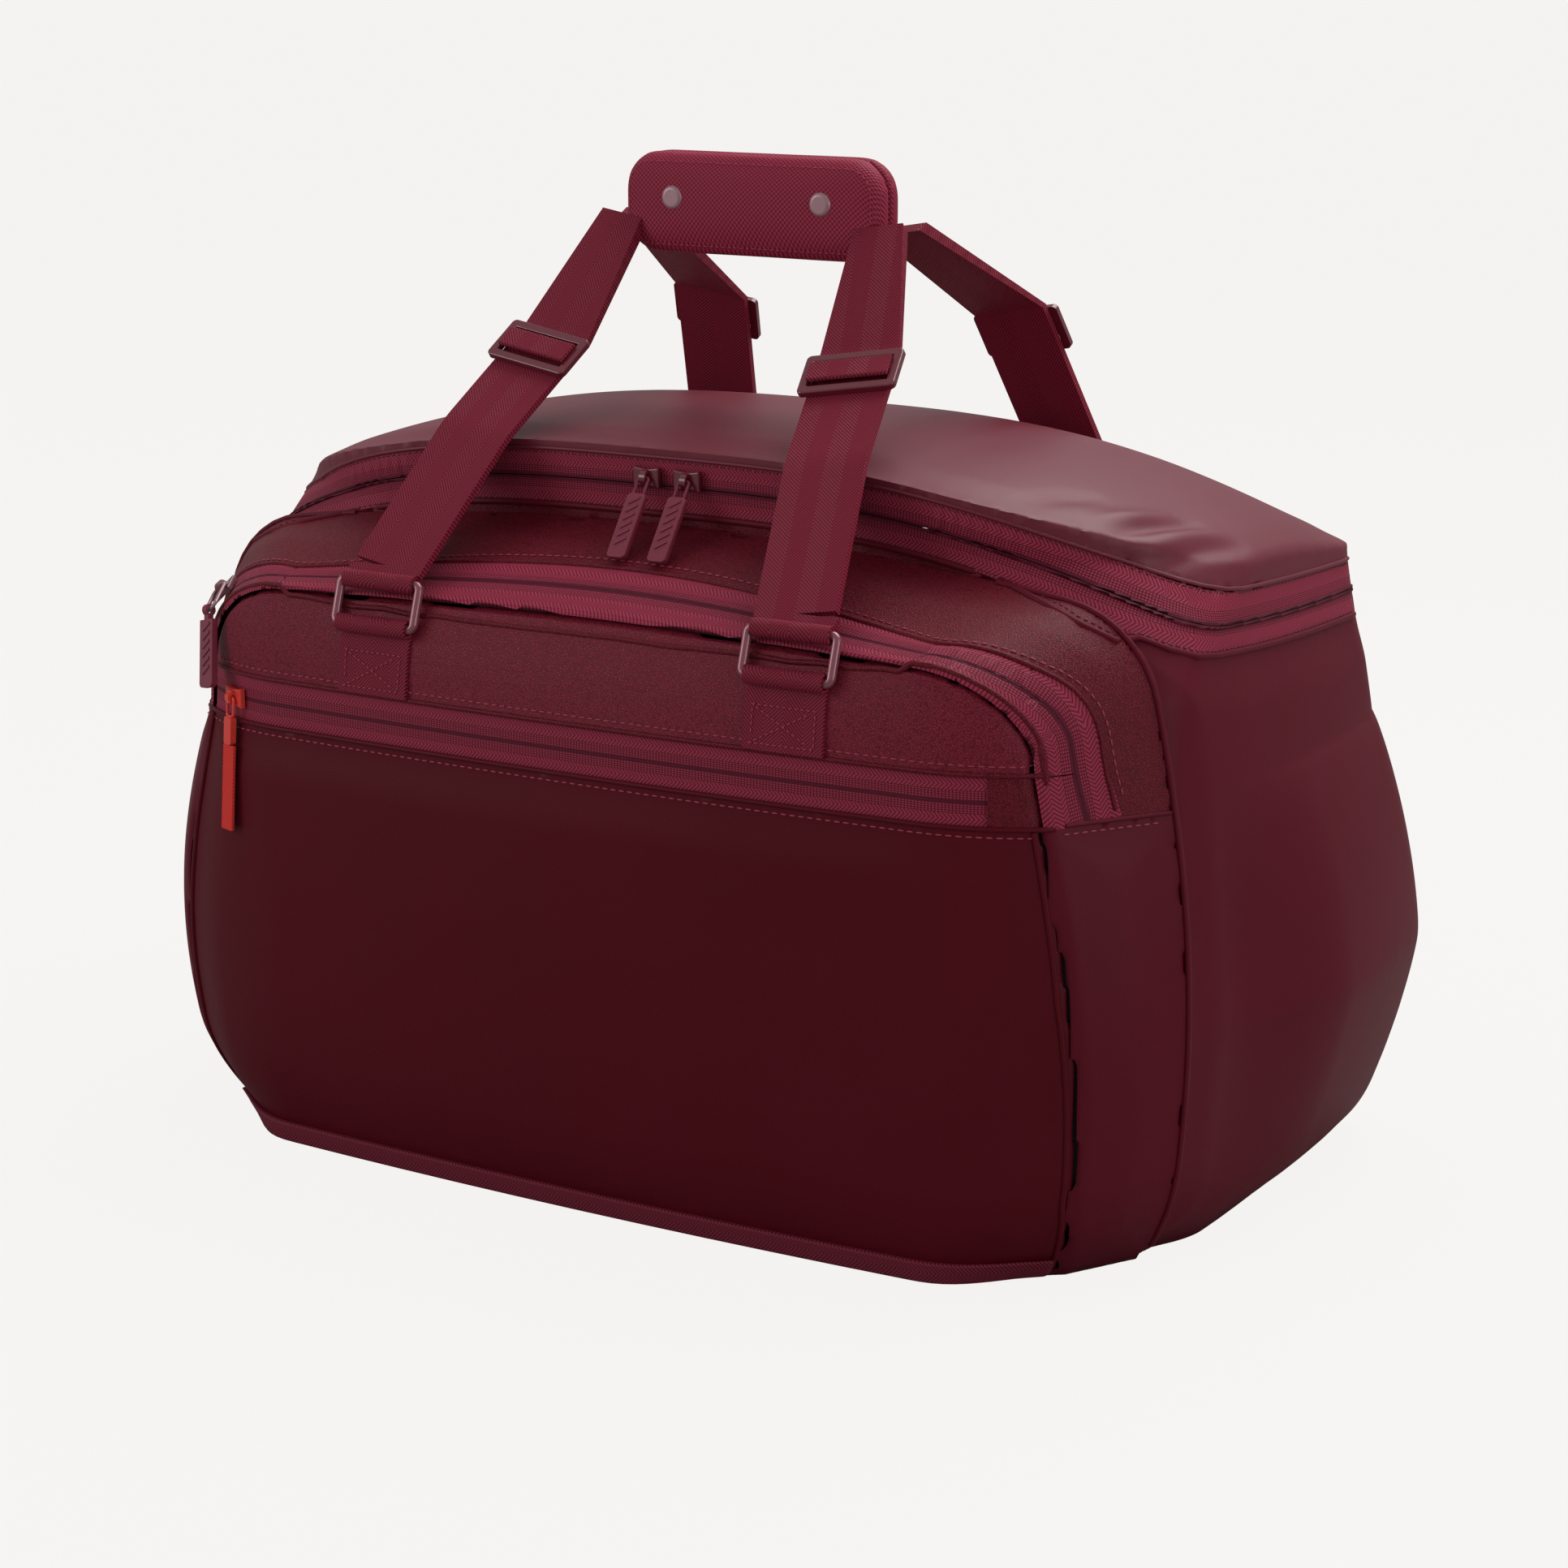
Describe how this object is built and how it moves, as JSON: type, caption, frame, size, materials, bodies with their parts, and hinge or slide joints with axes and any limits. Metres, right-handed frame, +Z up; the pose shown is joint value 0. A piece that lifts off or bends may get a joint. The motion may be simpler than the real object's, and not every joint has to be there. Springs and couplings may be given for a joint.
{
  "type": "racket tournament bag",
  "caption": "Soft duffel for rackets and kit with a domed zip lid, an arched front compartment, a zip pocket and clip-together carry handles.",
  "frame": {"origin": "on the floor, under the middle of the bounding box", "axes": "+X along the bag to the right end seen from the front, +Y from the front pocket to the back, +Z up"},
  "size_m": [0.542, 0.3141, 0.4575],
  "materials": {
    "coated_fabric": "matte coated fabric over foam",
    "grained_panel": "fine pebble-grained synthetic leather",
    "zip_tape": "herringbone woven tape",
    "zip_coil": "moulded nylon coil",
    "webbing": "woven webbing with chevron bands",
    "painted_hardware": "satin paint",
    "grip_fabric": "coarse plain-weave fabric and twill binding",
    "plated_stud": "nickel-plated",
    "pull_rubber": "moulded, with fine ribs",
    "red_hardware": "satin paint",
    "red_webbing": "narrow woven tape",
    "board": "plain stiffener sheet",
    "lining": "thin plain-weave lining"
  },
  "bodies": {
    "bag_body": {"arch_zip_coil_outer": "zip_coil", "arch_zip_tape_outer": "zip_tape", "back_panel": "coated_fabric", "back_patch_left": "webbing", "back_patch_right": "webbing", "base_board": "board", "base_panel": "coated_fabric", "bottom_binding": "grip_fabric", "divider_panel": "coated_fabric", "end_panel_left": "coated_fabric", "end_panel_right": "coated_fabric", "front_panel_lower": "coated_fabric", "front_yoke": "coated_fabric", "lid_zip_coil_lower": "zip_coil", "lid_zip_tape_lower": "zip_tape", "pocket_end_panel": "coated_fabric", "pocket_lining": "lining", "pocket_zip_coil": "zip_coil", "pocket_zip_tape": "zip_tape", "side_gusset_left": "coated_fabric", "side_gusset_right": "coated_fabric", "top_gusset": "grained_panel"},
    "lid": {"lid_panel": "coated_fabric", "lid_zip_tape_upper": "zip_tape", "lid_zip_coil_upper": "zip_coil"},
    "front_flap": {"flap_panel": "grained_panel", "arch_zip_tape_inner": "zip_tape", "arch_zip_coil_inner": "zip_coil", "front_patch_left": "webbing", "front_patch_right": "webbing"},
    "front_handle": {"front_loop_left": "painted_hardware", "front_loop_right": "painted_hardware", "front_strap_left": "webbing", "front_strap_right": "webbing", "grip_front": "grip_fabric", "snap_caps": "painted_hardware"},
    "back_handle": {"back_loop_left": "painted_hardware", "back_loop_right": "painted_hardware", "back_strap_left": "webbing", "back_strap_right": "webbing", "grip_back": "grip_fabric", "snap_studs": "plated_stud"},
    "front_slide_left": {"front_triglide_left": "painted_hardware", "front_triglide_web_left": "webbing"},
    "front_slide_right": {"front_triglide_right": "painted_hardware", "front_triglide_web_right": "webbing"},
    "back_slide_left": {"back_triglide_left": "painted_hardware", "back_triglide_web_left": "webbing"},
    "back_slide_right": {"back_triglide_right": "painted_hardware", "back_triglide_web_right": "webbing"},
    "lid_slider_left_body": {"lid_slider_left": "painted_hardware"},
    "lid_pull_left_body": {"lid_pull_left": "pull_rubber"},
    "lid_slider_right_body": {"lid_slider_right": "painted_hardware"},
    "lid_pull_right_body": {"lid_pull_right": "pull_rubber"},
    "arch_slider_body": {"arch_slider": "painted_hardware"},
    "arch_ring_body": {"arch_ring": "painted_hardware"},
    "arch_pull_body": {"arch_pull": "pull_rubber"},
    "pocket_slider_body": {"pocket_slider": "red_hardware"},
    "pocket_pull_body": {"pocket_pull": "red_hardware", "pocket_pull_tail": "red_webbing"}
  },
  "joints": [
    {"name": "lid_open", "type": "hinge", "parent": "bag_body", "child": "lid", "pos_m": [0, 0.1464, 0.262], "axis": [-1, 0, 0], "range_deg": [0, 100]},
    {"name": "flap_fold", "type": "hinge", "parent": "bag_body", "child": "front_flap", "pos_m": [0, -0.1566, 0.2237], "axis": [1, 0, 0], "range_deg": [0, 60]},
    {"name": "front_handle_swing", "type": "hinge", "parent": "front_flap", "child": "front_handle", "pos_m": [0, -0.1526, 0.256], "axis": [1, 0, 0], "range_deg": [0, 150]},
    {"name": "back_handle_swing", "type": "hinge", "parent": "bag_body", "child": "back_handle", "pos_m": [0, 0.1532, 0.246], "axis": [-1, 0, 0], "range_deg": [0, 100]},
    {"name": "front_left_strap_adjust", "type": "slide", "parent": "front_handle", "child": "front_slide_left", "axis": [0.1809, 0.7699, 0.612], "range_m": [-0.03, 0]},
    {"name": "front_right_strap_adjust", "type": "slide", "parent": "front_handle", "child": "front_slide_right", "axis": [-0.1809, 0.7699, 0.612], "range_m": [-0.03, 0]},
    {"name": "back_left_strap_adjust", "type": "slide", "parent": "back_handle", "child": "back_slide_left", "axis": [0.1839, -0.4439, 0.877], "range_m": [-0.03, 0]},
    {"name": "back_right_strap_adjust", "type": "slide", "parent": "back_handle", "child": "back_slide_right", "axis": [-0.1839, -0.4439, 0.877], "range_m": [-0.03, 0]},
    {"name": "lid_slider_left_travel", "type": "slide", "parent": "bag_body", "child": "lid_slider_left_body", "axis": [-1, 0, 0], "range_m": [0, 0.1]},
    {"name": "lid_slider_right_travel", "type": "slide", "parent": "bag_body", "child": "lid_slider_right_body", "axis": [1, 0, 0], "range_m": [0, 0.1]},
    {"name": "lid_pull_left_swing", "type": "hinge", "parent": "lid_slider_left_body", "child": "lid_pull_left_body", "pos_m": [-0.004, -0.0886, 0.322], "axis": [-1, 0, 0], "range_deg": [0, 140]},
    {"name": "lid_pull_right_swing", "type": "hinge", "parent": "lid_slider_right_body", "child": "lid_pull_right_body", "pos_m": [0.017, -0.0886, 0.322], "axis": [-1, 0, 0], "range_deg": [0, 140]},
    {"name": "arch_slider_travel", "type": "slide", "parent": "front_flap", "child": "arch_slider_body", "axis": [0.783, -0.0657, 0.6185], "range_m": [0, 0.012]},
    {"name": "arch_ring_swing", "type": "hinge", "parent": "arch_slider_body", "child": "arch_ring_body", "pos_m": [-0.21444, -0.12732, 0.259], "axis": [-0.783, 0.0657, -0.6185], "range_deg": [0, 60]},
    {"name": "arch_pull_swing", "type": "hinge", "parent": "arch_ring_body", "child": "arch_pull_body", "pos_m": [-0.20928, -0.14251, 0.25086], "axis": [-0.95, 0.2, -0.24], "range_deg": [0, 60]},
    {"name": "pocket_slider_travel", "type": "hinge", "parent": "bag_body", "child": "pocket_slider_body", "pos_m": [-0.15971, -0.05466, 0.2127], "axis": [0, 0, 1], "range_deg": [0, 18]},
    {"name": "pocket_pull_swing", "type": "hinge", "parent": "pocket_slider_body", "child": "pocket_pull_body", "pos_m": [-0.19298, -0.1489, 0.2127], "axis": [-0.943, 0.3329, 0], "range_deg": [0, 120]}
  ],
  "couplings": [
    {"joint": "front_handle_swing", "follows": "lid_open", "ratio": 1.5},
    {"joint": "back_handle_swing", "follows": "lid_open", "ratio": 1}
  ]
}
